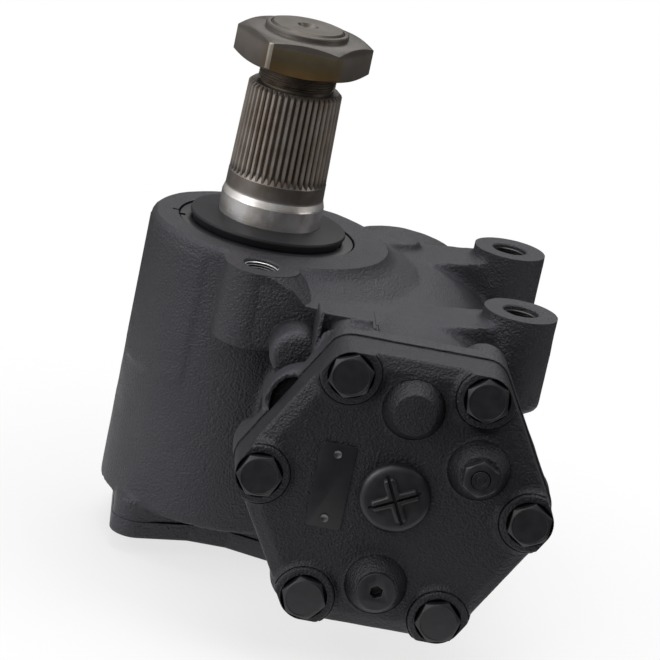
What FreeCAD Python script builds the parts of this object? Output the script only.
import FreeCAD, Part
import math
import os

# Recirculating-ball power steering gear, in millimetres.
# +Z runs up the sector shaft, with Z = 0 at the faces of the mounting bosses.
# The rack piston lies along Y, and the hexagonal cover closes the cylinder at the -Y end.

V = FreeCAD.Vector
up = V(0, 0, 1)

# Where the two main axes lie
centre_distance = 87.2
piston_depth = 86.6

# Clearances
moving_gap = 0.3
journal_gap = 0.05
fit_gap = 0.05
seal_gap = 0.3

# Sector gear and rack
tooth_pitch = 30.0
teeth_in_full_circle = 9
sector_teeth = 3
pressure_angle = 27.0
addendum_share = 0.85
tooth_root_share = 0.25
backlash = 0.4
sector_width = 56.0
sector_turn = 45.0
steering_ratio = 20.0

# Sector shaft
shaft_radius = 30.0
shaft_end_height = 122.0
thread_diameter = 45.0
thread_pitch = 1.5
thread_start_height = 86.4
shoulder_chamfer_height = 1.8
shoulder_chamfer_width = 2.0
thread_neck_width = 2.5
thread_neck_depth = 0.8
serration_teeth = 46
serration_top_radius = 27.2
serration_taper = 0.0224
serration_depth = 1.9
serration_tip_share = 0.34
serration_root_share = 0.24
serration_bottom_height = 37.0
serration_runout = 5.0
plain_cone_bottom_height = 22.5
plain_cone_step = 0.2
polished_ring_height = 19.5
lower_journal_radius = 28.0
lower_journal_length = 34.0
centre_drill_radius = 5.0
centre_drill_depth = 8.0

# Pitman nut
nut_across_flats = 68.5
nut_height = 19.5
nut_turn_angle = -1.6
shaft_end_stand = 1.0
nut_collar_radius = 24.3
nut_collar_height = 3.2
nut_crown_inset = 0.9
nut_chamfer_height = 2.8

# Barrel of the housing, round the sector shaft
barrel_radius = 67.5
barrel_height = 165.5
barrel_top_round = 4.0
barrel_foot_round = 1.2
chamber_radius = 52.0
snap_groove_top = 2.2
snap_ring_thickness = 2.5
snap_ring_width = 6.4
snap_groove_depth = 2.0
snap_ring_opening = 10.0
snap_ear_radius = 3.5
snap_ear_hole_radius = 1.25
snap_ear_inset = 4.0
carrier_height = 31.0
carrier_nose_radius = 37.0
carrier_nose_height = 17.0
dust_seal_radius = 45.7
dust_seal_top = 6.0
dust_seal_edge = 7.4
dust_seal_crown = 0.8
dust_seal_undercut = 2.4
seal_pocket_radius = 42.0
seal_pocket_depth = 14.0
shaft_seal_height = 11.0
bearing_wall = 4.0
bearing_lip = 1.5
upper_bearing_height = 30.0
lower_bearing_height = 28.0

# Bottom cover with the lobed outline
lobe_x = 44.5
lobe_y = 39.5
lobe_radius = 13.0
waist_y = 41.2
waist_half_length = 11.0
foot_flange_height = 8.5
bottom_cover_thickness = 10.4
bottom_opening_radius = 33.0
bottom_spigot_height = 6.0
bottom_bolt_radius = 5.0
bottom_bolt_head_radius = 8.0
bottom_bolt_head_height = 8.5
bottom_bolt_length = 24.0
bottom_bolt_socket = 8.0
bottom_bolt_socket_depth = 5.0
bottom_bolt_sink = 0.5
adjusting_screw_radius = 8.0
adjusting_head_radius = 13.0
adjusting_head_height = 5.0
adjusting_screw_stand = 9.0
adjusting_socket = 8.0
adjusting_socket_depth = 5.0
adjusting_nut_across_flats = 26.0
adjusting_nut_height = 7.0

# Cylinder of the housing, round the piston
bore_radius = 60.0
cylinder_radius = 74.5
cylinder_rear_y = 110.0
cylinder_rear_round = 12.0
rear_wall = 15.5
rear_lip = 3.0
rear_lip_radius = 33.0
rear_opening_radius = 38.0

# Hexagonal flange and cover
cover_bolt_circle = 150.0
cover_bolt_count = 6
cover_margin = 13.45
flange_extra_margin = 1.0
flange_back_y = -136.4
seam_y = -151.0
cover_edge_y = -174.0
cover_face_y = -177.5
cover_slope_width = 8.0
bolt_seat_y = -175.0
bolt_seat_radius = 14.7
bolt_ring_radius = 18.0
bolt_ring_stand = 2.5
bolt_lug_radius = 18.5
bolt_lug_index = 2
bolt_column_length = 26.0
bolt_column_round = 9.0
spigot_depth = 9.0
spigot_wall = 6.0
cover_web = 15.0

# Bolts of the cover
cover_bolt_radius = 7.0
cover_bolt_across_flats = 22.0
cover_bolt_head_height = 9.6
cover_bolt_length = 50.0
bolt_hole_gap = 0.5
cover_bolt_turns = (4.0, 17.0, 41.0, 26.0, 9.0, 52.0)
head_chamfer = 0.4

# Bosses on the cover
boss_base_radius = 16.8
boss_top_radius = 11.3
boss_height = 10.5
blank_boss_circle = 51.4
blank_boss_angle = 90.0
plug_boss_angle = -90.0
limiter_circle = 48.3
limiter_angle = 30.0
limiter_screw_radius = 5.0
limiter_screw_stand = 2.6
limiter_dish_depth = 1.0
limiter_nut_across_flats = 17.0
limiter_nut_height = 6.0
plug_radius = 9.0
plug_length = 12.0
plug_flange_radius = 10.8
plug_flange_height = 2.0
plug_socket = 6.5
plug_socket_depth = 6.5
cap_radius = 19.6
cap_height = 3.2
cap_depth = 8.0
cap_round = 2.2
cap_slot_length = 27.0
cap_slot_width = 4.4
cap_slot_depth = 1.6
cap_slot_angle = 27.0

# Mounting bosses, with M20 x 1.5 threads
mount_radius = 21.4
mount_hole_radius = 9.2
front_left_mount = (-3.0, -77.0)
front_right_mount = (146.0, -73.0)
rear_right_mount = (148.0, 53.0)
front_left_mount_height = 41.0
front_right_mount_height = 56.0
rear_right_mount_height = 62.0
front_left_hole_depth = 34.0
front_right_hole_depth = 38.0
rear_right_hole_depth = 42.0
mount_foot_round = 5.0
mount_web_half_width = 16.0
mount_web_drop = 5.0
mount_web_root_half_width = 22.0
mount_web_root_drop = 14.0

# Deck and pads on top of the casting
deck_rear_y = 60.0
deck_front_y = -134.0
deck_left_x = 16.0
deck_left_end_y = -82.0
deck_front_left_x = 30.0
deck_corner = 4.0
deck_foot_z = -41.0
deck_ring_radius = 71.0
deck_step_radius = 77.0
deck_step_drop = 5.0
deck_slope_radius = 94.0
deck_slope_drop = 12.3
deck_far_radius = 165.0
deck_far_drop = 20.0
ridge_width = 12.0
ridge_start_y = -80.0
ridge_start_drop = 1.0
ridge_start_lean = 30.0
ridge_end_y = -127.0
ridge_end_drop = 6.0
ridge_end_lean = 14.5
pad_left_x = 30.0
pad_right_x = 60.0
pad_back_y = -115.0
pad_corner = 2.0
pad_drop = 3.0
pad_thickness = 26.0
pad_wall = 5.0
pad_bar_width = 9.0
pad_notch_width = 12.0
pad_notch_floor = 12.0
knob_x = 18.5
knob_z = -34.5
knob_radius = 11.2
knob_rear_y = -80.0
knob_front_y = -121.0
knob_round = 6.5
round_pad = (80.0, 63.0)
round_pad_radius = 15.5
round_pad_drop = 8.0
round_pad_thickness = 20.0

# Shallow panel on the left of the barrel
panel_stand = 0.9
panel_foot_z = -85.0
panel_top_z = -8.0
panel_start_angle = 192.0
panel_end_angle = 240.0

# Scallop in the side of the flange
scallop_angle = 151.6
scallop_circle = 64.2
scallop_radius = 18.4
scallop_rim = 4.0
scallop_bed_radius = 70.0
scallop_front_y = -147.0
scallop_floor_y = -138.0
scallop_rear_y = -122.0

# Rack piston
piston_front = 100.0
piston_head_length = 50.0
piston_tail = 56.0
piston_edge = 2.0
ring_groove_width = 5.0
ring_groove_depth = 4.5
ring_groove_start = 12.0
nut_bore_end = -60.0
piston_recess_radius = 38.0
piston_recess_depth = 26.0

# Worm, balls and return tube
ball_diameter = 7.0
ball_circle_radius = 19.0
worm_radius = 18.2
nut_bore_radius = 19.8
ball_turn_count = 2
ball_count_per_turn = 16
ball_zone_start = 20.0
worm_free_end = -18.0
worm_groove_lead_in = 3
worm_core_end = 88.0
worm_groove_margin = 4.0
worm_collar_start = 92.0
worm_collar_radius = 20.5
worm_journal_radius = 17.0
worm_stub_length = 8.0
tube_bend_radius = 8.0
tube_reach = 21.0
tube_wall = 0.9
tube_foot_depth = 1.2
tube_seat_depth = 9.0
tube_pocket_gap = 1.0

# Valve at the back
bearing_race_outer = 6.0
bearing_race_inner = 5.0
bearing_race_sink = 1.5
valve_flange_radius = 60.0
valve_flange_thickness = 14.0
valve_flange_round = 1.2
valve_body_radius = 38.5
valve_rear_y = 188.0
valve_bolt_circle = 98.0
valve_bolt_count = 6
valve_bolt_radius = 5.0
valve_bolt_head_radius = 8.0
valve_bolt_head_height = 10.0
valve_bolt_depth = 11.0
valve_bolt_socket = 8.0
valve_bolt_socket_depth = 5.0
valve_bolt_turn = 30.0
valve_seat_depth = 1.5
valve_edge_round = 4.0
valve_seal_circle = 41.0
valve_seal_thickness = 2.2
sleeve_radius = 25.0
sleeve_bore_radius = 16.0
sleeve_end_y = 172.0
sleeve_ring_width = 2.4
sleeve_ring_depth = 2.2
sleeve_ring_ys = (128.0, 153.0)
fluid_groove_width = 8.0
fluid_groove_depth = 3.0
fluid_hole_radius = 2.5
fluid_hole_count = 3
fluid_hole_turn = 30.0
port_ys = (139.0, 167.0)
port_reaches = (56.0, 54.0)
port_boss_radii = (12.5, 14.0)
port_hole_radii = (8.2, 10.2)
port_depths = (16.0, 18.0)
gallery_radius = 4.0
input_radius = 11.0
input_end_y = 236.0
input_serration_length = 30.0
input_serration_teeth = 36
input_serration_depth = 0.8
input_groove_width = 5.0
input_clamp_groove = 12.0
input_bearing_radius = 16.0
input_bearing_width = 7.0
input_seal_radius = 18.0
input_seal_width = 6.0
dust_cap_radius = 24.0
dust_cap_thickness = 4.0
rotor_start_y = 121.0
rotor_slot_count = 6
rotor_slot_start = 14.0
rotor_slot_length = 26.0
rotor_slot_width = 3.0
rotor_slot_depth = 1.5
torsion_bar_radius = 4.0
torsion_head_radius = 6.0
torsion_head_length = 12.0
torsion_bar_start_y = 64.0
torsion_bar_end_y = 232.0
torsion_pin_radius = 2.0

# Sizes worked out from those above
piston_x = centre_distance
piston_z = -piston_depth
pitch_radius = tooth_pitch * teeth_in_full_circle / (2 * math.pi)
tooth_module = tooth_pitch / math.pi
addendum = addendum_share * tooth_module
tooth_clearance = tooth_root_share * tooth_module
lead = 2 * math.pi * pitch_radius / steering_ratio
piston_travel = pitch_radius * math.radians(sector_turn)
piston_radius = bore_radius - moving_gap
rack_tip_x = pitch_radius - addendum
rack_root_x = pitch_radius + addendum + tooth_clearance
sector_foot_z = piston_z - sector_width / 2
shaft_foot_z = sector_foot_z - lower_journal_length
thread_core_radius = thread_diameter / 2 - 0.6134 * thread_pitch
thread_neck_radius = thread_core_radius - thread_neck_depth
cover_bolt_ring = cover_bolt_circle / 2
valve_bore_radius = sleeve_radius + moving_gap
worm_bearing_start = cylinder_rear_y - rear_wall + rear_lip
worm_groove_start = ball_zone_start - worm_groove_lead_in * lead
sleeve_start_y = cylinder_rear_y + moving_gap
ball_track_radius = ball_diameter / 2 + moving_gap
tube_radius = ball_track_radius + tube_wall
ball_zone_end = ball_zone_start + ball_turn_count * lead
piston_ring_y = -piston_front + ring_groove_start
foot_flange_z = -barrel_height - foot_flange_height
bottom_cover_z = foot_flange_z - bottom_cover_thickness
nut_bottom_height = shaft_end_height - shaft_end_stand - nut_collar_height - nut_height
worm_groove_turns = (worm_core_end - worm_groove_margin - worm_groove_start) / lead
mounts = (
    (front_left_mount, front_left_mount_height, front_left_hole_depth),
    (front_right_mount, front_right_mount_height, front_right_hole_depth),
    (rear_right_mount, rear_right_mount_height, rear_right_hole_depth),
)


def turned(profile):
    # A solid of revolution about Z, from (radius, height) corners
    corners = [V(radius, 0, height) for radius, height in profile]
    face = Part.Face(Part.makePolygon(corners + corners[:1]))
    return face.revolve(V(0, 0, 0), up, 360)


def rod(radius, low, high, x=0.0, y=0.0):
    return Part.makeCylinder(radius, high - low, V(x, y, low))


def ring(outer, inner, low, high):
    return rod(outer, low, high).cut(rod(inner, low - 1, high + 1))


def turn_to_y(shape):
    # Local Z becomes +Y, and local Y becomes -Z
    placed = shape.copy()
    placed.rotate(V(0, 0, 0), V(1, 0, 0), -90)
    return placed


def on_piston_axis(shape):
    placed = turn_to_y(shape)
    placed.translate(V(piston_x, 0, piston_z))
    return placed


def around(shape, count, radius, first_angle=0.0):
    # Copies of a shape that stands at the origin, on a circle about Z
    copies = []
    for step in range(count):
        angle = math.radians(first_angle + 360.0 * step / count)
        copy = shape.copy()
        copy.translate(V(radius * math.cos(angle), radius * math.sin(angle), 0))
        copies.append(copy)
    return copies


def cover_point(radius, degrees_up):
    # A point on the cover, whose own frame has Y pointing down
    x, y = polar(radius, degrees_up)
    return x, -y


def fuse_all(shapes):
    body = shapes[0].multiFuse(shapes[1:])
    return body.removeSplitter()


def join(shapes):
    # One after another, for blocks of the casting that run into each other
    body = shapes[0]
    for shape in shapes[1:]:
        body = body.fuse(shape)
    return body


def soften(shape, radius, chosen):
    # Rounds the edges for which chosen(edge) is true
    edges = [edge for edge in shape.Edges if chosen(edge)]
    return shape.makeFillet(radius, edges)


def at_height(height):
    def chosen(edge):
        box = edge.BoundBox
        return abs(box.ZMin - height) < 0.01 and abs(box.ZMax - height) < 0.01
    return chosen


def rounded_outline(corners, radius, height=0.0):
    # The closed wire that runs at the given distance outside convex corners, listed anticlockwise
    count = len(corners)
    edges = []
    starts = []
    ends = []
    for index in range(count):
        here = V(corners[index][0], corners[index][1], height)
        after = V(corners[(index + 1) % count][0], corners[(index + 1) % count][1], height)
        direction = (after - here).normalize()
        outward = V(direction.y, -direction.x, 0)
        starts.append(here + outward * radius)
        ends.append(after + outward * radius)
    for index in range(count):
        corner = V(corners[index][0], corners[index][1], height)
        arrival = ends[index - 1]
        departure = starts[index]
        middle = (arrival + departure) * 0.5 - corner
        if middle.Length < 0.001:
            middle = corner - V(corners[index - 1][0], corners[index - 1][1], height)
        peak = corner + middle.normalize() * radius
        edges.append(Part.Arc(arrival, peak, departure).toShape())
        edges.append(Part.makeLine(departure, ends[index]))
    return Part.Wire(edges)


def rounded_prism(corners, radius, low, high):
    face = Part.Face(rounded_outline(corners, radius, low))
    return face.extrude(V(0, 0, high - low))


def hexagon_prism(across_flats, low, high, first_angle=30.0):
    corner_radius = across_flats / math.sqrt(3)
    corners = []
    for step in range(6):
        angle = math.radians(first_angle + 60 * step)
        corners.append(V(corner_radius * math.cos(angle), corner_radius * math.sin(angle), low))
    face = Part.Face(Part.makePolygon(corners + corners[:1]))
    return face.extrude(V(0, 0, high - low))


def hexagon_head(across_flats, height):
    # A head or nut that stands on Z = 0, with its top corners turned off at 30 degrees
    reach = across_flats / math.sqrt(3) + 1
    crown = across_flats / 2 - head_chamfer
    slope = (reach - crown) * math.tan(math.radians(30))
    dome = turned([(0, 0), (reach, 0), (reach, height - slope), (crown, height), (0, height)])
    return hexagon_prism(across_flats, 0, height).common(dome)


def hexagon_corners(radius):
    corners = []
    for step in range(6):
        angle = math.radians(60 * step)
        corners.append((radius * math.cos(angle), radius * math.sin(angle)))
    return corners


def polar(radius, degrees):
    return radius * math.cos(math.radians(degrees)), radius * math.sin(math.radians(degrees))


# Sector shaft and its teeth

def involute_angle(radius, base_radius):
    rolled = math.sqrt(max((radius / base_radius) ** 2 - 1, 0))
    return rolled - math.atan(rolled)


def sector_tooth(tip_radius, root_radius):
    # One tooth that points along +X, as a flat face: an involute on each flank
    base_radius = pitch_radius * math.cos(math.radians(pressure_angle))
    half_at_pitch = math.pi / (2 * teeth_in_full_circle) - backlash / (2 * pitch_radius)
    half_at_base = half_at_pitch + involute_angle(pitch_radius, base_radius)
    steps = 6
    upper = []
    for step in range(steps + 1):
        radius = base_radius + (tip_radius - base_radius) * step / steps
        angle = half_at_base - involute_angle(radius, base_radius)
        upper.append(V(radius * math.cos(angle), radius * math.sin(angle), 0))
    lower = [V(point.x, -point.y, 0) for point in upper]
    foot_x = (root_radius - 3) * math.cos(half_at_base)
    foot_y = (root_radius - 3) * math.sin(half_at_base)
    upper_flank = Part.BSplineCurve()
    upper_flank.interpolate(upper)
    lower_flank = Part.BSplineCurve()
    lower_flank.interpolate(lower)
    tip = Part.Arc(lower[-1], V(tip_radius, 0, 0), upper[-1]).toShape()
    edges = [
        Part.makeLine(V(foot_x, -foot_y, 0), lower[0]),
        lower_flank.toShape(),
        tip,
        upper_flank.toShape(),
        Part.makeLine(upper[0], V(foot_x, foot_y, 0)),
        Part.makeLine(V(foot_x, foot_y, 0), V(foot_x, -foot_y, 0)),
    ]
    return Part.Face(Part.Wire(Part.__sortEdges__(edges)))


def sector_gear():
    tip_radius = pitch_radius + addendum
    root_radius = pitch_radius - addendum - tooth_clearance
    tooth_angle = 360.0 / teeth_in_full_circle
    spread = tooth_angle * (sector_teeth - 1) / 2
    tooth = sector_tooth(tip_radius, root_radius).extrude(V(0, 0, sector_width))
    tooth.translate(V(0, 0, sector_foot_z))
    solids = []
    for step in range(sector_teeth):
        copy = tooth.copy()
        copy.rotate(V(0, 0, 0), up, -spread + tooth_angle * step)
        solids.append(copy)
    web_angle = 2 * spread + tooth_angle / 2
    web = Part.makeCylinder(root_radius, sector_width, V(0, 0, sector_foot_z), up, web_angle)
    web.rotate(V(0, 0, 0), up, -web_angle / 2)
    solids.append(web)
    return solids


def serration_outline(tip_radius, height):
    # A closed polygon with one ridge and one groove for each tooth
    corners = []
    root_radius = tip_radius - serration_depth
    step_angle = 360.0 / serration_teeth
    tip = serration_tip_share / 2
    root = serration_root_share / 2
    ridge = ((-tip, tip_radius), (tip, tip_radius), (0.5 - root, root_radius), (0.5 + root, root_radius))
    for tooth in range(serration_teeth):
        for share, radius in ridge:
            x, y = polar(radius, (tooth + share) * step_angle)
            corners.append(V(x, y, height))
    return Part.makePolygon(corners + corners[:1])


def sector_shaft():
    def taper_radius(height):
        return serration_top_radius + (thread_start_height - height) * serration_taper
    runout_height = serration_bottom_height - serration_runout
    cone_radius = taper_radius(plain_cone_bottom_height)
    core_top = serration_top_radius - serration_depth - 1
    core_bottom = taper_radius(serration_bottom_height) - serration_depth - 1
    recess_radius = adjusting_head_radius + moving_gap
    recess_depth = adjusting_head_height + 2 * moving_gap + 3
    core = turned([
        (0, shaft_foot_z),
        (lower_journal_radius - 1.5, shaft_foot_z),
        (lower_journal_radius, shaft_foot_z + 1.5),
        (lower_journal_radius, sector_foot_z),
        (shaft_radius, sector_foot_z),
        (shaft_radius, polished_ring_height - 1),
        (shaft_radius - 0.3, polished_ring_height),
        (cone_radius + plain_cone_step, plain_cone_bottom_height),
        (taper_radius(runout_height) + plain_cone_step, runout_height),
        (core_bottom, serration_bottom_height),
        (core_top, thread_start_height - 2),
        (thread_neck_radius, thread_start_height - 2),
        (thread_neck_radius, thread_start_height + thread_neck_width),
        (thread_core_radius, thread_start_height + thread_neck_width + 0.5),
        (thread_core_radius, shaft_end_height - 1.5),
        (thread_core_radius - 1.5, shaft_end_height),
        (0, shaft_end_height),
    ])
    top = serration_outline(serration_top_radius, thread_start_height)
    loft_foot = plain_cone_bottom_height + 4
    bottom = serration_outline(taper_radius(loft_foot), loft_foot)
    serration = Part.makeLoft([bottom, top], True, True)
    trim_low = thread_start_height - shoulder_chamfer_height
    trim = turned([
        (0, loft_foot - 1),
        (serration_top_radius + 4, loft_foot - 1),
        (serration_top_radius + 4, trim_low),
        (serration_top_radius, trim_low),
        (serration_top_radius - shoulder_chamfer_width, thread_start_height),
        (0, thread_start_height),
    ])
    serration = serration.common(trim)
    drill_cone = turned([
        (0, shaft_end_height - centre_drill_depth),
        (centre_drill_radius, shaft_end_height - 2),
        (centre_drill_radius + 1.2, shaft_end_height),
        (centre_drill_radius + 1.2, shaft_end_height + 1),
        (0, shaft_end_height + 1),
    ])
    recess = rod(recess_radius, shaft_foot_z - 1, shaft_foot_z + recess_depth)
    body = fuse_all([core, serration] + sector_gear())
    return body.cut([drill_cone, recess])


def pitman_nut():
    reach = nut_across_flats / math.sqrt(3) + 0.3
    crown = nut_across_flats / 2 - nut_crown_inset
    envelope = turned([
        (0, 0),
        (crown, 0),
        (reach, nut_chamfer_height),
        (reach, nut_height - nut_chamfer_height),
        (crown, nut_height),
        (0, nut_height),
    ])
    body = hexagon_prism(nut_across_flats, 0, nut_height, nut_turn_angle).common(envelope)
    collar = turned([
        (0, nut_height - 1),
        (nut_collar_radius, nut_height - 1),
        (nut_collar_radius, nut_height + nut_collar_height - 0.8),
        (nut_collar_radius - 0.8, nut_height + nut_collar_height),
        (0, nut_height + nut_collar_height),
    ])
    nut = fuse_all([body, collar])
    nut = nut.cut(rod(thread_core_radius + fit_gap, -1, nut_height + nut_collar_height + 1))
    nut.translate(V(0, 0, nut_bottom_height))
    return nut


# Pieces in the top of the barrel

carrier_top_z = -snap_groove_top - snap_ring_thickness - 0.1
carrier_step_z = carrier_top_z - carrier_height
carrier_foot_z = carrier_step_z - carrier_nose_height
seal_pocket_z = carrier_top_z - seal_pocket_depth
upper_bearing_top_z = carrier_foot_z + upper_bearing_height


def bearing_carrier():
    # The nose is slimmer, so that the piston can pass under the broad part
    outer = chamber_radius - fit_gap
    inner = shaft_radius + 1
    body = turned([
        (inner, carrier_foot_z),
        (carrier_nose_radius, carrier_foot_z),
        (carrier_nose_radius, carrier_step_z),
        (outer - 1, carrier_step_z),
        (outer, carrier_step_z + 1),
        (outer, carrier_top_z),
        (inner, carrier_top_z),
    ])
    seal_pocket = rod(seal_pocket_radius, seal_pocket_z, carrier_top_z + 1)
    bearing_pocket = rod(shaft_radius + bearing_wall, carrier_foot_z - 1, upper_bearing_top_z)
    return body.cut([seal_pocket, bearing_pocket])


def needle_bearing(journal_radius, outer, low, high):
    # Outer cup and needle cage as one sleeve, with the cage set back between the lips of the cup
    inner = journal_radius + journal_gap
    body = ring(outer, inner, low, high)
    lip = bearing_lip
    recess_low = ring(inner + lip, inner - 1, low - 1, low + 1.0)
    recess_high = ring(inner + lip, inner - 1, high - 1.0, high + 1)
    return body.cut([recess_low, recess_high])


def upper_bearing():
    return needle_bearing(shaft_radius, shaft_radius + bearing_wall - fit_gap, carrier_foot_z,
                          upper_bearing_top_z)


def lower_bearing():
    low = shaft_foot_z + 3.0
    return needle_bearing(lower_journal_radius, lower_journal_radius + bearing_wall - fit_gap, low,
                          low + lower_bearing_height)


def shaft_seal():
    outer = seal_pocket_radius - fit_gap
    inner = shaft_radius + seal_gap
    foot = seal_pocket_z
    top = seal_pocket_z + shaft_seal_height
    return turned([
        (inner + 1, foot + 5),
        (inner + 5, foot),
        (outer, foot),
        (outer, top),
        (inner + 4, top),
        (inner, foot + 7),
    ])


def dust_seal():
    inner = shaft_radius + seal_gap
    foot = dust_seal_top - dust_seal_edge
    seat = seal_pocket_z + shaft_seal_height + fit_gap
    return turned([
        (inner, foot + 2),
        (inner + 3, foot),
        (seal_pocket_radius - 4, seat),
        (seal_pocket_radius - 0.4, seat),
        (seal_pocket_radius - 0.4, foot),
        (dust_seal_radius - dust_seal_undercut, foot),
        (dust_seal_radius, dust_seal_top - dust_seal_crown - 1.6),
        (dust_seal_radius - 0.5, dust_seal_top - dust_seal_crown),
        (inner + 2, dust_seal_top),
        (inner, dust_seal_top - 1),
    ])


def snap_ring():
    outer = chamber_radius + snap_groove_depth - 0.2
    low = -snap_groove_top - snap_ring_thickness
    high = -snap_groove_top
    body = ring(outer, outer - snap_ring_width, low, high)
    ear_x = chamber_radius - snap_ear_inset
    ear_y = snap_ring_opening / 2 + snap_ear_radius
    ears = []
    holes = []
    for side in (-1, 1):
        ears.append(rod(snap_ear_radius, low, high, -ear_x, side * ear_y))
        holes.append(rod(snap_ear_hole_radius, low - 1, high + 1, -ear_x, side * ear_y))
    body = fuse_all([body] + ears)
    opening = Part.makeBox(2 * snap_ring_width, snap_ring_opening, snap_ring_thickness + 2,
                           V(-outer - 1, -snap_ring_opening / 2, low - 1))
    return body.cut([opening] + holes)


# Bottom of the barrel

def lobed_outline(margin=0.0):
    # Four lobes joined by straight flanks to two flat waists, anticlockwise from the front waist
    radius = lobe_radius + margin
    waist = waist_y + margin
    edges = []

    def tangent(cx, cy, px, py):
        # The tangent point, on the lobe's circle, of the line from a waist corner
        distance = math.hypot(px - cx, py - cy)
        towards = math.atan2(py - cy, px - cx)
        opening = math.acos(radius / distance)
        side = 1 if (cx > 0) == (cy < 0) else -1
        angle = towards + side * opening
        return V(cx + radius * math.cos(angle), cy + radius * math.sin(angle), 0)

    corners = [(lobe_x, -lobe_y), (lobe_x, lobe_y), (-lobe_x, lobe_y), (-lobe_x, -lobe_y)]
    points = []
    for cx, cy in corners:
        waist_corner = V(math.copysign(waist_half_length, cx), math.copysign(waist, cy), 0)
        touch = tangent(cx, cy, waist_corner.x, waist_corner.y)
        outer = V(cx + math.copysign(radius, cx), cy, 0)
        centre = V(cx, cy, 0)
        peak_direction = (touch - centre).normalize() + V(math.copysign(1, cx), 0, 0)
        peak = centre + peak_direction.normalize() * radius
        points.append((waist_corner, touch, peak, outer))
    for index, (waist_corner, touch, peak, outer) in enumerate(points):
        edges.append(Part.makeLine(waist_corner, touch))
        edges.append(Part.Arc(touch, peak, outer).toShape())
    edges.append(Part.makeLine(points[0][3], points[1][3]))
    edges.append(Part.makeLine(points[1][0], points[2][0]))
    edges.append(Part.makeLine(points[2][3], points[3][3]))
    edges.append(Part.makeLine(points[3][0], points[0][0]))
    return Part.Wire(Part.__sortEdges__(edges))


def lobed_prism(low, high, margin=0.0):
    face = Part.Face(lobed_outline(margin))
    solid = face.extrude(V(0, 0, high - low))
    solid.translate(V(0, 0, low))
    return solid


def lobe_centres():
    return [(side_x * lobe_x, side_y * lobe_y) for side_x in (-1, 1) for side_y in (-1, 1)]


def bottom_cover():
    spigot_top = foot_flange_z + bottom_spigot_height
    plate = soften(lobed_prism(bottom_cover_z, foot_flange_z), 1.5, at_height(bottom_cover_z))
    spigot = rod(bottom_opening_radius - fit_gap, foot_flange_z - 1, spigot_top)
    body = fuse_all([plate, spigot])
    tools = [rod(adjusting_screw_radius + fit_gap, bottom_cover_z - 1, spigot_top + 1)]
    for x, y in lobe_centres():
        tools.append(rod(bottom_bolt_radius + bolt_hole_gap, bottom_cover_z - 1, foot_flange_z + 1, x, y))
        tools.append(rod(bottom_bolt_head_radius + bolt_hole_gap, bottom_cover_z - 1,
                         bottom_cover_z + bottom_bolt_head_height, x, y))
    return body.cut(tools)


def bottom_cover_bolts():
    solids = []
    head_z = bottom_cover_z + bottom_bolt_head_height
    for x, y in lobe_centres():
        head_low = bottom_cover_z + bottom_bolt_sink
        head = rod(bottom_bolt_head_radius, head_low, head_z, x, y)
        shank = rod(bottom_bolt_radius, head_z - 1, head_z + bottom_bolt_length, x, y)
        socket = hexagon_prism(bottom_bolt_socket, head_low - 1, head_low + bottom_bolt_socket_depth)
        socket.translate(V(x, y, 0))
        solids.append(fuse_all([head, shank]).cut(socket))
    return Part.makeCompound(solids)


def bottom_cover_seal():
    middle = bottom_opening_radius + 2.6
    return Part.makeTorus(middle, 1.4, V(0, 0, foot_flange_z + 1.4), up)


def adjusting_screw():
    head_top = shaft_foot_z + 3 + adjusting_head_height + moving_gap
    head_low = head_top - adjusting_head_height
    foot = bottom_cover_z - adjusting_screw_stand
    head = rod(adjusting_head_radius, head_low, head_top)
    screw = turned([
        (0, foot),
        (adjusting_screw_radius - 1, foot),
        (adjusting_screw_radius, foot + 1),
        (adjusting_screw_radius, head_low + 1),
        (0, head_low + 1),
    ])
    socket = hexagon_prism(adjusting_socket, foot - 1, foot + adjusting_socket_depth)
    return fuse_all([head, screw]).cut(socket)


def adjusting_retainer():
    # A ring pressed into the end of the shaft, under the head of the screw
    outer = adjusting_head_radius + moving_gap - fit_gap
    return ring(outer, adjusting_screw_radius + moving_gap + 0.7, shaft_foot_z + 0.3, shaft_foot_z + 3)


def adjusting_nut():
    nut = hexagon_head(adjusting_nut_across_flats, adjusting_nut_height)
    nut = nut.cut(rod(adjusting_screw_radius + fit_gap, -1, adjusting_nut_height + 1))
    nut.rotate(V(0, 0, 0), V(1, 0, 0), 180)
    nut.translate(V(0, 0, bottom_cover_z))
    return nut


# Housing

def upright(x, middle_y, half_width, low, high):
    # A vertical rectangle that faces along X, as a closed wire
    corners = []
    for across, height in ((-half_width, low), (half_width, low), (half_width, high), (-half_width, high)):
        corners.append(V(x, middle_y + across, height))
    return Part.makePolygon(corners + corners[:1])


def leaning(y, left_x, lean, top):
    # A section of the wall beside the deck, whose left side leans out towards its foot
    corners = [
        V(left_x - lean, y, deck_foot_z),
        V(left_x + ridge_width, y, deck_foot_z),
        V(left_x + ridge_width, y, top),
        V(left_x, y, top),
    ]
    return Part.makePolygon(corners + corners[:1])


def saddle(start, end):
    return Part.makeLoft([start, end], True, True)


def deck():
    # Falls away from the machined ring round the barrel towards the cylinder
    inset = deck_corner
    corners = [
        (deck_left_x + inset, deck_rear_y - inset),
        (deck_left_x + inset, deck_left_end_y),
        (deck_front_left_x + inset, deck_front_y + inset),
        (piston_x, deck_front_y + inset),
        (piston_x, deck_rear_y - inset),
    ]
    block = rounded_prism(corners, inset, deck_foot_z, 0)
    dome = turned([
        (0, deck_foot_z - 1),
        (deck_far_radius, deck_foot_z - 1),
        (deck_far_radius, -deck_far_drop),
        (deck_slope_radius, -deck_slope_drop),
        (deck_step_radius, -deck_step_drop),
        (deck_ring_radius, 0),
        (0, 0),
    ])
    return block.common(dome)


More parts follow.
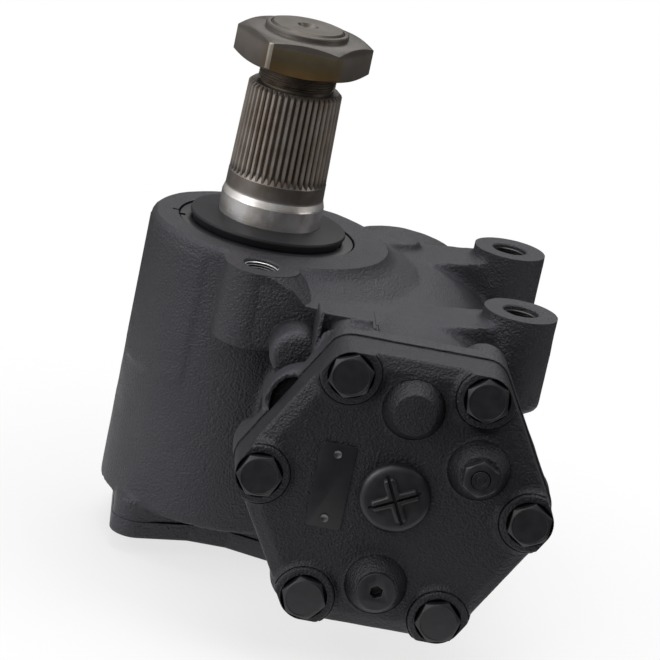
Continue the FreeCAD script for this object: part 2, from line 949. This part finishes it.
def seam_pad():
    # The flat pad behind the upper left bolt, with a notch between its left wall and its bar
    inset = pad_corner
    corners = [
        (pad_left_x + inset, flange_back_y + inset),
        (pad_right_x - inset, flange_back_y + inset),
        (pad_right_x - inset, pad_back_y - inset),
        (pad_left_x + inset, pad_back_y - inset),
    ]
    pad = rounded_prism(corners, inset, -pad_drop - pad_thickness, -pad_drop)
    notch_depth = pad_back_y - pad_bar_width - flange_back_y
    notch = Part.makeBox(pad_notch_width, notch_depth + 1, pad_notch_floor,
                         V(pad_left_x + pad_wall, flange_back_y - 1, -pad_notch_floor))
    return pad.cut(notch)


def scallop():
    # A lobe outside the flange, hollowed from the front behind the edge of the cover
    lobe = rod(scallop_radius + scallop_rim, scallop_front_y, scallop_rear_y)
    x, y = cover_point(scallop_circle, scallop_angle)
    lobe.translate(V(x, y, 0))
    return lobe


def scallop_hollow():
    hollow = rod(scallop_radius, seam_y - 1, scallop_floor_y)
    x, y = cover_point(scallop_circle, scallop_angle)
    hollow.translate(V(x, y, 0))
    return hollow.cut(rod(scallop_bed_radius, seam_y - 2, scallop_floor_y + 1))


def barrel_panel():
    turn = panel_end_angle - panel_start_angle
    height = panel_top_z - panel_foot_z
    panel = Part.makeCylinder(barrel_radius + panel_stand, height, V(0, 0, panel_foot_z), up, turn)
    panel.rotate(V(0, 0, 0), up, panel_start_angle)
    return panel.cut(rod(chamber_radius + 2, panel_foot_z - 1, panel_top_z + 1))


def housing_casting():
    barrel = rod(barrel_radius, -barrel_height, 0)
    barrel = soften(barrel, barrel_top_round, at_height(0))
    barrel = soften(barrel, barrel_foot_round, at_height(-barrel_height))
    cylinder = rod(cylinder_radius, flange_back_y - 5, cylinder_rear_y)
    cylinder = soften(cylinder, cylinder_rear_round, at_height(cylinder_rear_y))
    flange_margin = cover_margin + flange_extra_margin
    flange = rounded_prism(hexagon_corners(cover_bolt_ring), flange_margin, seam_y, flange_back_y)
    columns = []
    for index in range(cover_bolt_count):
        radius = bolt_lug_radius if index == bolt_lug_index else flange_margin - 0.05
        low = seam_y + 1
        high = seam_y + bolt_column_length + bolt_column_round
        column = soften(rod(radius, low, high), bolt_column_round, at_height(high))
        x, y = polar(cover_bolt_ring, 60.0 * index)
        column.translate(V(x, y, 0))
        columns.append(column)
    lying = [on_piston_axis(shape) for shape in [cylinder, flange] + columns + [scallop()]]
    standing = [barrel]
    for (x, y), height, hole_depth in mounts:
        boss = rod(mount_radius, -height, 0, x, y)
        standing.append(soften(boss, mount_foot_round, at_height(-height)))
        if x > piston_x:
            foot = -height + mount_foot_round
            standing.append(saddle(
                upright(x, y, mount_web_half_width, foot, -mount_web_drop),
                upright(piston_x, y, mount_web_root_half_width, foot, -mount_web_root_drop),
            ))
    ridge = saddle(
        leaning(ridge_start_y, deck_left_x, ridge_start_lean, -ridge_start_drop),
        leaning(ridge_end_y, deck_front_left_x, ridge_end_lean, -ridge_end_drop),
    )
    knob = rod(knob_radius, knob_front_y, knob_rear_y)
    knob = turn_to_y(soften(knob, knob_round, at_height(knob_front_y)))
    knob.translate(V(knob_x, 0, knob_z))
    top_pad = rod(round_pad_radius, -round_pad_drop - round_pad_thickness, -round_pad_drop, *round_pad)
    neck = lobed_prism(foot_flange_z, -barrel_height + barrel_foot_round + 3)
    rest = [deck(), ridge, seam_pad(), knob, top_pad, neck]
    return join(standing + lying + rest).fuse(barrel_panel())


def housing():
    chamber_foot = sector_foot_z - 2.0
    lower_bore = lower_journal_radius + bearing_wall
    groove_outer = chamber_radius + snap_groove_depth
    tools = [
        rod(chamber_radius, chamber_foot, 1),
        rod(lower_bore, shaft_foot_z - 1, chamber_foot + 1),
        rod(bottom_opening_radius, foot_flange_z - 1, shaft_foot_z),
        rod(bottom_opening_radius + 4.2, foot_flange_z - 1, foot_flange_z + 2.8),
        rod(groove_outer, -snap_groove_top - snap_ring_thickness - 0.1, -snap_groove_top),
    ]
    for x, y in lobe_centres():
        tools.append(rod(bottom_bolt_radius + fit_gap, foot_flange_z - 1,
                         bottom_cover_z + bottom_bolt_head_height + bottom_bolt_length + 3, x, y))
    for (x, y), height, hole_depth in mounts:
        tools.append(rod(mount_hole_radius, -hole_depth, 1, x, y))
    bore_rear = cylinder_rear_y - rear_wall
    lying = [
        rod(bore_radius, seam_y - 1, bore_rear),
        rod(rear_lip_radius, bore_rear - 1, cylinder_rear_y + 1),
        rod(rear_opening_radius, bore_rear + rear_lip, cylinder_rear_y + 1),
        rod(bore_radius + 3.4, seam_y - 1, seam_y + 2.6),
    ]
    bolt_hole = rod(cover_bolt_radius + fit_gap, seam_y - 1, bolt_seat_y + cover_bolt_length + 3)
    lying += around(bolt_hole, cover_bolt_count, cover_bolt_ring)
    valve_hole = rod(valve_bolt_radius + fit_gap, bore_rear + 2.5, cylinder_rear_y + 1)
    lying += around(valve_hole, valve_bolt_count, valve_bolt_circle / 2, valve_bolt_turn)
    lying.append(scallop_hollow())
    tools += [on_piston_axis(shape) for shape in lying]
    return housing_casting().cut(tools)


# Cover of the cylinder, in its own frame: local Z is +Y, and local Y points down

def cylinder_cover():
    corners = hexagon_corners(cover_bolt_ring)
    slab = rounded_prism(corners, cover_margin, cover_edge_y, seam_y)
    slope = Part.makeLoft([
        rounded_outline(corners, cover_margin, cover_edge_y),
        rounded_outline(corners, cover_margin - cover_slope_width, cover_face_y),
    ], True, True)
    ring_top = cover_face_y - bolt_ring_stand
    trim = rounded_prism(corners, cover_margin, ring_top - 1, seam_y)
    bolt_ring = rod(bolt_ring_radius, ring_top, cover_edge_y + 1)
    rings = [shape.common(trim) for shape in around(bolt_ring, cover_bolt_count, cover_bolt_ring)]
    boss = turned([
        (0, cover_face_y + 2),
        (boss_base_radius + 0.8, cover_face_y + 2),
        (boss_base_radius, cover_face_y),
        (boss_top_radius + 0.5, cover_face_y - boss_height + 0.5),
        (boss_top_radius, cover_face_y - boss_height),
        (0, cover_face_y - boss_height),
    ])
    bosses = []
    places = (
        (blank_boss_circle, blank_boss_angle),
        (blank_boss_circle, plug_boss_angle),
        (limiter_circle, limiter_angle),
    )
    for circle, angle in places:
        x, y = cover_point(circle, angle)
        copy = boss.copy()
        copy.translate(V(x, y, 0))
        bosses.append(copy)
    spigot = ring(bore_radius - fit_gap, bore_radius - spigot_wall, seam_y - 1, seam_y + spigot_depth)
    body = fuse_all([slab, slope, spigot] + rings + bosses)
    hollow = rod(bore_radius - spigot_wall, cover_face_y + cover_web, seam_y + spigot_depth + 1)
    bolt_hole = rod(cover_bolt_radius + bolt_hole_gap, ring_top - 1, seam_y + 1)
    seat = rod(bolt_seat_radius, ring_top - 1, bolt_seat_y)
    tools = [hollow]
    tools += around(bolt_hole, cover_bolt_count, cover_bolt_ring)
    tools += around(seat, cover_bolt_count, cover_bolt_ring)
    tools.append(rod(cap_radius - 2.0, cover_face_y - 1, cover_face_y + cap_depth))
    limiter_x, limiter_y = cover_point(limiter_circle, limiter_angle)
    tools.append(rod(limiter_screw_radius + fit_gap, cover_face_y - boss_height - 1,
                     cover_face_y + cover_web + 1, limiter_x, limiter_y))
    plug_x, plug_y = cover_point(blank_boss_circle, plug_boss_angle)
    tools.append(rod(plug_radius + fit_gap, cover_face_y - boss_height - 1,
                     cover_face_y - boss_height + plug_length + 1, plug_x, plug_y))
    return on_piston_axis(body.cut(tools))


def cover_bolts():
    head = hexagon_head(cover_bolt_across_flats, cover_bolt_head_height)
    head.rotate(V(0, 0, 0), V(1, 0, 0), 180)
    head.translate(V(0, 0, bolt_seat_y))
    shank = rod(cover_bolt_radius, bolt_seat_y - 1, bolt_seat_y + cover_bolt_length)
    bolt = fuse_all([head, shank])
    solids = []
    for index, copy in enumerate(around(bolt, cover_bolt_count, 0)):
        copy.rotate(V(0, 0, 0), up, cover_bolt_turns[index])
        x, y = polar(cover_bolt_ring, 60.0 * index)
        copy.translate(V(x, y, 0))
        solids.append(on_piston_axis(copy))
    return Part.makeCompound(solids)


def cover_seal():
    torus = Part.makeTorus(bore_radius + 1.7, 1.25, V(0, 0, seam_y + 1.3), up)
    return on_piston_axis(torus)


def centre_cap():
    top = cover_face_y - cap_height
    head = rod(cap_radius, top, cover_face_y)
    head = soften(head, cap_round, at_height(top))
    stem = rod(cap_radius - 2.0 - fit_gap, cover_face_y - 1, cover_face_y + cap_depth)
    body = fuse_all([head, stem])
    slot = Part.makeBox(cap_slot_length, cap_slot_width, cap_slot_depth + 1,
                        V(-cap_slot_length / 2, -cap_slot_width / 2, top - 1))
    tools = []
    for quarter in (0, 90):
        copy = slot.copy()
        copy.rotate(V(0, 0, 0), up, -cap_slot_angle - quarter)
        tools.append(copy)
    return on_piston_axis(body.cut(tools))


def limiter_screw():
    top = cover_face_y - boss_height - limiter_nut_height - limiter_screw_stand
    inner = -piston_front - piston_travel - moving_gap
    screw = turned([
        (0, top + limiter_dish_depth),
        (limiter_screw_radius - 1.6, top + 0.2),
        (limiter_screw_radius - 1, top),
        (limiter_screw_radius, top + 1),
        (limiter_screw_radius, inner),
        (0, inner),
    ])
    x, y = cover_point(limiter_circle, limiter_angle)
    screw.translate(V(x, y, 0))
    return on_piston_axis(screw)


def limiter_nut():
    nut = hexagon_head(limiter_nut_across_flats, limiter_nut_height)
    nut = nut.cut(rod(limiter_screw_radius + fit_gap, -1, limiter_nut_height + 1))
    nut.rotate(V(0, 0, 0), V(1, 0, 0), 180)
    x, y = cover_point(limiter_circle, limiter_angle)
    nut.translate(V(x, y, cover_face_y - boss_height))
    return on_piston_axis(nut)


def cover_plug():
    seat = cover_face_y - boss_height
    body = fuse_all([
        rod(plug_flange_radius, seat - plug_flange_height, seat),
        rod(plug_radius, seat - 1, seat + plug_length),
    ])
    body = body.cut(hexagon_prism(plug_socket, seat - plug_flange_height - 1,
                                  seat - plug_flange_height + plug_socket_depth))
    x, y = cover_point(blank_boss_circle, plug_boss_angle)
    body.translate(V(x, y, 0))
    return on_piston_axis(body)


# Rack piston, worm and balls, along local Z

def ball_track(start, turns):
    # The round groove that the balls run in, as a solid to be cut away
    helix = Part.makeHelix(lead, lead * turns, ball_circle_radius)
    helix.translate(V(0, 0, start))
    heading = V(0, 2 * math.pi * ball_circle_radius, lead)
    section = Part.Wire(Part.makeCircle(ball_track_radius, V(ball_circle_radius, 0, start), heading))
    return Part.Wire(helix.Edges).makePipeShell([section], True, True)


def tube_path(reach):
    # From the first ball out, along and back to the last ball
    foot = nut_bore_radius + tube_foot_depth
    top = ball_circle_radius + reach
    corner = tube_bend_radius * (1 - math.sqrt(0.5))
    low = ball_zone_start
    high = ball_zone_end
    bend_start = top - tube_bend_radius
    edges = [
        Part.makeLine(V(foot, 0, low), V(bend_start, 0, low)),
        Part.Arc(V(bend_start, 0, low), V(top - corner, 0, low + corner),
                 V(top, 0, low + tube_bend_radius)).toShape(),
        Part.makeLine(V(top, 0, low + tube_bend_radius), V(top, 0, high - tube_bend_radius)),
        Part.Arc(V(top, 0, high - tube_bend_radius), V(top - corner, 0, high - corner),
                 V(bend_start, 0, high)).toShape(),
        Part.makeLine(V(bend_start, 0, high), V(foot, 0, high)),
    ]
    return Part.Wire(edges), foot


def ball_return_tube():
    path, foot = tube_path(tube_reach)
    walls = []
    for radius in (tube_radius, ball_track_radius):
        section = Part.Wire(Part.makeCircle(radius, V(foot, 0, ball_zone_start), V(1, 0, 0)))
        walls.append(path.makePipeShell([section], True, True))
    return on_piston_axis(walls[0].cut(walls[1]))


def ball_train():
    # The first and the last ball stand in the mouths of the return tube
    balls = []
    for index in range(ball_turn_count * ball_count_per_turn + 1):
        share = index / ball_count_per_turn
        x, y = polar(ball_circle_radius, 360 * share)
        balls.append(Part.makeSphere(ball_diameter / 2, V(x, y, ball_zone_start + lead * share)))
    return on_piston_axis(Part.makeCompound(balls))


def rack_piston():
    front = -piston_front
    head_end = front + piston_head_length
    body = turned([
        (piston_recess_radius, front),
        (piston_radius - piston_edge, front),
        (piston_radius, front + piston_edge),
        (piston_radius, piston_tail - piston_edge),
        (piston_radius - piston_edge, piston_tail),
        (nut_bore_radius, piston_tail),
        (nut_bore_radius, nut_bore_end),
        (0, nut_bore_end),
        (0, front + piston_recess_depth),
        (piston_recess_radius, front + piston_recess_depth),
    ])
    groove_half = ring_groove_width / 2
    groove = ring(piston_radius + 1, piston_radius - ring_groove_depth,
                  piston_ring_y - groove_half, piston_ring_y + groove_half)
    pocket_low = nut_bore_radius + tube_seat_depth
    pocket_radius = tube_radius + tube_pocket_gap
    pocket = rounded_prism([(0, ball_zone_start), (0, ball_zone_end)], pocket_radius, 0, piston_radius)
    pocket.rotate(V(0, 0, 0), V(1, 1, 1), 120)
    pocket.translate(V(pocket_low, 0, 0))
    seats = []
    for height in (ball_zone_start, ball_zone_end):
        seats.append(Part.makeCylinder(tube_radius + fit_gap, pocket_low, V(nut_bore_radius - 1.5, 0, height),
                                       V(1, 0, 0)))
    body = body.cut([groove, pocket] + seats)
    body = body.cut(ball_track(ball_zone_start, ball_turn_count))
    body = on_piston_axis(body)
    flat = Part.makeBox(piston_radius * 2, piston_tail - head_end + 1, piston_radius * 2,
                        V(rack_tip_x - piston_radius * 2, head_end, piston_z - piston_radius))
    slope = math.tan(math.radians(pressure_angle))
    half_space = tooth_pitch / 4
    root_half = half_space - (addendum + tooth_clearance) * slope
    tip_half = half_space + (addendum + 2) * slope
    spaces = []
    for step in range(sector_teeth):
        y = (step - (sector_teeth - 1) / 2) * tooth_pitch
        corners = [
            V(rack_root_x, y - root_half, piston_z - piston_radius),
            V(rack_root_x, y + root_half, piston_z - piston_radius),
            V(rack_tip_x - 2, y + tip_half, piston_z - piston_radius),
            V(rack_tip_x - 2, y - tip_half, piston_z - piston_radius),
        ]
        face = Part.Face(Part.makePolygon(corners + corners[:1]))
        spaces.append(face.extrude(V(0, 0, piston_radius * 2)))
    return body.cut([flat] + spaces)


def piston_ring():
    half = ring_groove_width / 2 - fit_gap
    return on_piston_axis(ring(bore_radius - fit_gap, piston_radius - ring_groove_depth + fit_gap,
                               piston_ring_y - half, piston_ring_y + half))


def worm():
    stub_end = sleeve_start_y + worm_stub_length
    collar_end = worm_bearing_start - moving_gap
    stub_radius = sleeve_bore_radius - fit_gap
    body = turned([
        (0, worm_free_end),
        (worm_radius - 1.5, worm_free_end),
        (worm_radius, worm_free_end + 1.5),
        (worm_radius, worm_core_end),
        (worm_journal_radius, worm_core_end),
        (worm_journal_radius, worm_collar_start),
        (worm_collar_radius, worm_collar_start),
        (worm_collar_radius, collar_end),
        (worm_journal_radius, collar_end),
        (worm_journal_radius, sleeve_start_y),
        (stub_radius, sleeve_start_y),
        (stub_radius, stub_end),
        (0, stub_end),
    ])
    bar_hole = rod(torsion_head_radius + fit_gap, torsion_bar_start_y - 1, stub_end + 1)
    body = body.cut(bar_hole)
    body = body.cut(ball_track(worm_groove_start, worm_groove_turns))
    pin_hole = torsion_pin_solid(torsion_pin_radius + fit_gap, worm_collar_radius + 1)
    return on_piston_axis(body.cut(pin_hole))


def torsion_pin_solid(radius, reach):
    pin_y = worm_collar_start + (worm_bearing_start - moving_gap - worm_collar_start) / 2
    return Part.makeCylinder(radius, 2 * reach, V(-reach, 0, pin_y), V(1, 0, 0))


def torsion_pin():
    return on_piston_axis(torsion_pin_solid(torsion_pin_radius, worm_collar_radius - 1))


def torsion_bar():
    bar = turned([
        (0, torsion_bar_start_y),
        (torsion_head_radius, torsion_bar_start_y),
        (torsion_head_radius, worm_bearing_start),
        (torsion_bar_radius, worm_bearing_start + 4),
        (torsion_bar_radius, torsion_bar_end_y - torsion_head_length - 4),
        (torsion_head_radius, torsion_bar_end_y - torsion_head_length),
        (torsion_head_radius, torsion_bar_end_y),
        (0, torsion_bar_end_y),
    ])
    return on_piston_axis(bar.cut(torsion_pin_solid(torsion_pin_radius + fit_gap, worm_radius)))


def worm_bearing():
    # Outer and inner race as one ring with a turned recess on each side
    inner = worm_journal_radius + journal_gap
    outer = rear_opening_radius - fit_gap
    width = rear_wall - rear_lip
    low = worm_bearing_start
    body = ring(outer, inner, low, low + width)
    recess_outer = outer - bearing_race_outer
    recess_inner = inner + bearing_race_inner
    recess_low = ring(recess_outer, recess_inner, low - 1, low + bearing_race_sink)
    recess_high = ring(recess_outer, recess_inner, low + width - bearing_race_sink, low + width + 1)
    return on_piston_axis(body.cut([recess_low, recess_high]))


def valve_sleeve():
    body = ring(sleeve_radius, sleeve_bore_radius, sleeve_start_y, sleeve_end_y)
    tools = []
    for y in sleeve_ring_ys:
        tools.append(ring(sleeve_radius + 1, sleeve_radius - sleeve_ring_depth, y - sleeve_ring_width / 2,
                          y + sleeve_ring_width / 2))
    for y in port_ys:
        tools.append(ring(sleeve_radius + 1, sleeve_radius - fluid_groove_depth, y - fluid_groove_width / 2,
                          y + fluid_groove_width / 2))
        for step in range(fluid_hole_count):
            hole = Part.makeCylinder(fluid_hole_radius, sleeve_radius + 1, V(0, 0, y), V(1, 0, 0))
            hole.rotate(V(0, 0, 0), up, 360.0 * step / fluid_hole_count + fluid_hole_turn)
            tools.append(hole)
    return on_piston_axis(body.cut(tools))


def sleeve_rings():
    solids = []
    for y in sleeve_ring_ys:
        half = sleeve_ring_width / 2 - fit_gap
        solids.append(ring(valve_bore_radius - fit_gap, sleeve_radius - sleeve_ring_depth + fit_gap,
                           y - half, y + half))
    return on_piston_axis(Part.makeCompound(solids))


def input_shaft():
    rotor_radius = sleeve_bore_radius - moving_gap
    rotor_end = sleeve_end_y - 1
    serration_start = input_end_y - input_serration_length
    core_radius = input_radius - input_serration_depth
    body = turned([
        (torsion_head_radius + moving_gap, rotor_start_y),
        (rotor_radius, rotor_start_y),
        (rotor_radius, rotor_end),
        (input_radius, rotor_end),
        (input_radius, serration_start - input_groove_width),
        (core_radius, serration_start - input_groove_width + 1),
        (core_radius, input_end_y),
        (torsion_head_radius + moving_gap, input_end_y),
    ])
    outline = []
    step_angle = 360.0 / input_serration_teeth
    for tooth in range(input_serration_teeth):
        for share, radius in ((-0.15, input_radius), (0.15, input_radius), (0.5, core_radius)):
            x, y = polar(radius, (tooth + share) * step_angle)
            outline.append(V(x, y, serration_start))
    serration = Part.Face(Part.makePolygon(outline + outline[:1])).extrude(V(0, 0, input_serration_length))
    hole = rod(torsion_head_radius + moving_gap, rotor_start_y, input_end_y + 1)
    groove_y = input_end_y - input_clamp_groove
    groove = ring(input_radius + 1, core_radius - 0.4, groove_y, groove_y + input_groove_width)
    slots = []
    for step in range(rotor_slot_count):
        slot = Part.makeBox(rotor_slot_depth + 1, rotor_slot_width, rotor_slot_length,
                            V(rotor_radius - rotor_slot_depth, -rotor_slot_width / 2,
                              rotor_start_y + rotor_slot_start))
        slot.rotate(V(0, 0, 0), up, 360.0 * step / rotor_slot_count)
        slots.append(slot)
    serration = serration.cut(hole)
    return on_piston_axis(fuse_all([body, serration]).cut([groove] + slots))


def valve_housing():
    front = cylinder_rear_y
    flange = rod(valve_flange_radius, front, front + valve_flange_thickness)
    flange = soften(flange, valve_flange_round, at_height(front + valve_flange_thickness))
    trunk = rod(valve_body_radius, front + 1, valve_rear_y)
    trunk = soften(trunk, valve_edge_round, at_height(valve_rear_y))
    solids = [flange, trunk]
    bearing_start = sleeve_end_y + 2
    seal_start = bearing_start + input_bearing_width
    tools = [
        rod(valve_bore_radius, front - 1, bearing_start),
        rod(input_bearing_radius, bearing_start - 1, seal_start),
        rod(input_seal_radius, seal_start, valve_rear_y + 1),
        ring(valve_seal_circle + valve_seal_thickness / 2, valve_seal_circle - valve_seal_thickness / 2,
             front - 1, front + valve_seal_thickness),
    ]
    bolt_hole = rod(valve_bolt_radius + bolt_hole_gap, front - 1, front + valve_flange_thickness + 1)
    seat = rod(valve_bolt_head_radius + 0.7, front + valve_flange_thickness - valve_seat_depth,
               front + valve_flange_thickness + valve_bolt_head_height + 2)
    tools += around(bolt_hole, valve_bolt_count, valve_bolt_circle / 2, valve_bolt_turn)
    tools += around(seat, valve_bolt_count, valve_bolt_circle / 2, valve_bolt_turn)
    ports = zip(port_ys, port_reaches, port_boss_radii, port_hole_radii, port_depths)
    for y, reach, boss_radius, hole_radius, depth in ports:
        solids.append(Part.makeCylinder(boss_radius, reach, V(0, 0, y), V(1, 0, 0)))
        tools.append(Part.makeCylinder(hole_radius, depth + 1, V(reach - depth, 0, y), V(1, 0, 0)))
        tools.append(Part.makeCylinder(gallery_radius, reach, V(0, 0, y), V(1, 0, 0)))
    return on_piston_axis(fuse_all(solids).cut(tools))


def valve_housing_bolts():
    seat = cylinder_rear_y + valve_flange_thickness - valve_seat_depth
    head = rod(valve_bolt_head_radius, seat, seat + valve_bolt_head_height)
    shank = rod(valve_bolt_radius, cylinder_rear_y - valve_bolt_depth, seat + 1)
    top = seat + valve_bolt_head_height
    socket = hexagon_prism(valve_bolt_socket, top - valve_bolt_socket_depth, top + 1)
    bolt = fuse_all([head, shank]).cut(socket)
    bolts = around(bolt, valve_bolt_count, valve_bolt_circle / 2, valve_bolt_turn)
    return on_piston_axis(Part.makeCompound(bolts))


def valve_housing_seal():
    radius = valve_seal_thickness / 2 - fit_gap
    return on_piston_axis(Part.makeTorus(valve_seal_circle, radius, V(0, 0, cylinder_rear_y + radius), up))


def input_bearing():
    start = sleeve_end_y + 2
    return on_piston_axis(ring(input_bearing_radius - fit_gap, input_radius + journal_gap, start,
                               start + input_bearing_width))


def input_seal():
    start = sleeve_end_y + 2 + input_bearing_width + 0.1
    inner = input_radius + seal_gap
    outer = input_seal_radius - fit_gap
    return on_piston_axis(turned([
        (inner, start + 3),
        (inner + 2.5, start),
        (outer, start),
        (outer, start + input_seal_width),
        (inner + 2.5, start + input_seal_width),
        (inner, start + 4),
    ]))


def input_dust_cap():
    inner = input_radius + seal_gap
    start = valve_rear_y + 0.05
    neck = sleeve_end_y + 2 + input_bearing_width + input_seal_width + 0.2
    return on_piston_axis(turned([
        (inner, start + 1),
        (input_seal_radius - 4, neck),
        (input_seal_radius - 0.1, neck),
        (input_seal_radius - 0.1, start),
        (dust_cap_radius, start),
        (dust_cap_radius, start + 1.5),
        (input_seal_radius, start + dust_cap_thickness),
        (inner, start + dust_cap_thickness + 2),
    ]))


os.makedirs("parts", exist_ok=True)
pieces = {
    "housing": housing,
    "cylinder_cover": cylinder_cover,
    "cover_bolts": cover_bolts,
    "cover_seal": cover_seal,
    "centre_cap": centre_cap,
    "limiter_screw": limiter_screw,
    "limiter_nut": limiter_nut,
    "cover_plug": cover_plug,
    "sector_shaft": sector_shaft,
    "pitman_nut": pitman_nut,
    "bearing_carrier": bearing_carrier,
    "upper_bearing": upper_bearing,
    "lower_bearing": lower_bearing,
    "dust_seal": dust_seal,
    "shaft_seal": shaft_seal,
    "snap_ring": snap_ring,
    "bottom_cover": bottom_cover,
    "bottom_cover_bolts": bottom_cover_bolts,
    "bottom_cover_seal": bottom_cover_seal,
    "adjusting_screw": adjusting_screw,
    "adjusting_nut": adjusting_nut,
    "adjusting_retainer": adjusting_retainer,
    "rack_piston": rack_piston,
    "piston_ring": piston_ring,
    "ball_train": ball_train,
    "ball_return_tube": ball_return_tube,
    "worm": worm,
    "worm_bearing": worm_bearing,
    "torsion_bar": torsion_bar,
    "torsion_pin": torsion_pin,
    "valve_sleeve": valve_sleeve,
    "sleeve_rings": sleeve_rings,
    "input_shaft": input_shaft,
    "valve_housing": valve_housing,
    "valve_housing_bolts": valve_housing_bolts,
    "valve_housing_seal": valve_housing_seal,
    "input_bearing": input_bearing,
    "input_seal": input_seal,
    "input_dust_cap": input_dust_cap,
}
for name, make in pieces.items():
    shape = make()
    print(name, "solids", len(shape.Solids), "valid", shape.isValid(), "volume", round(shape.Volume))
    shape.exportStep("parts/" + name + ".step")
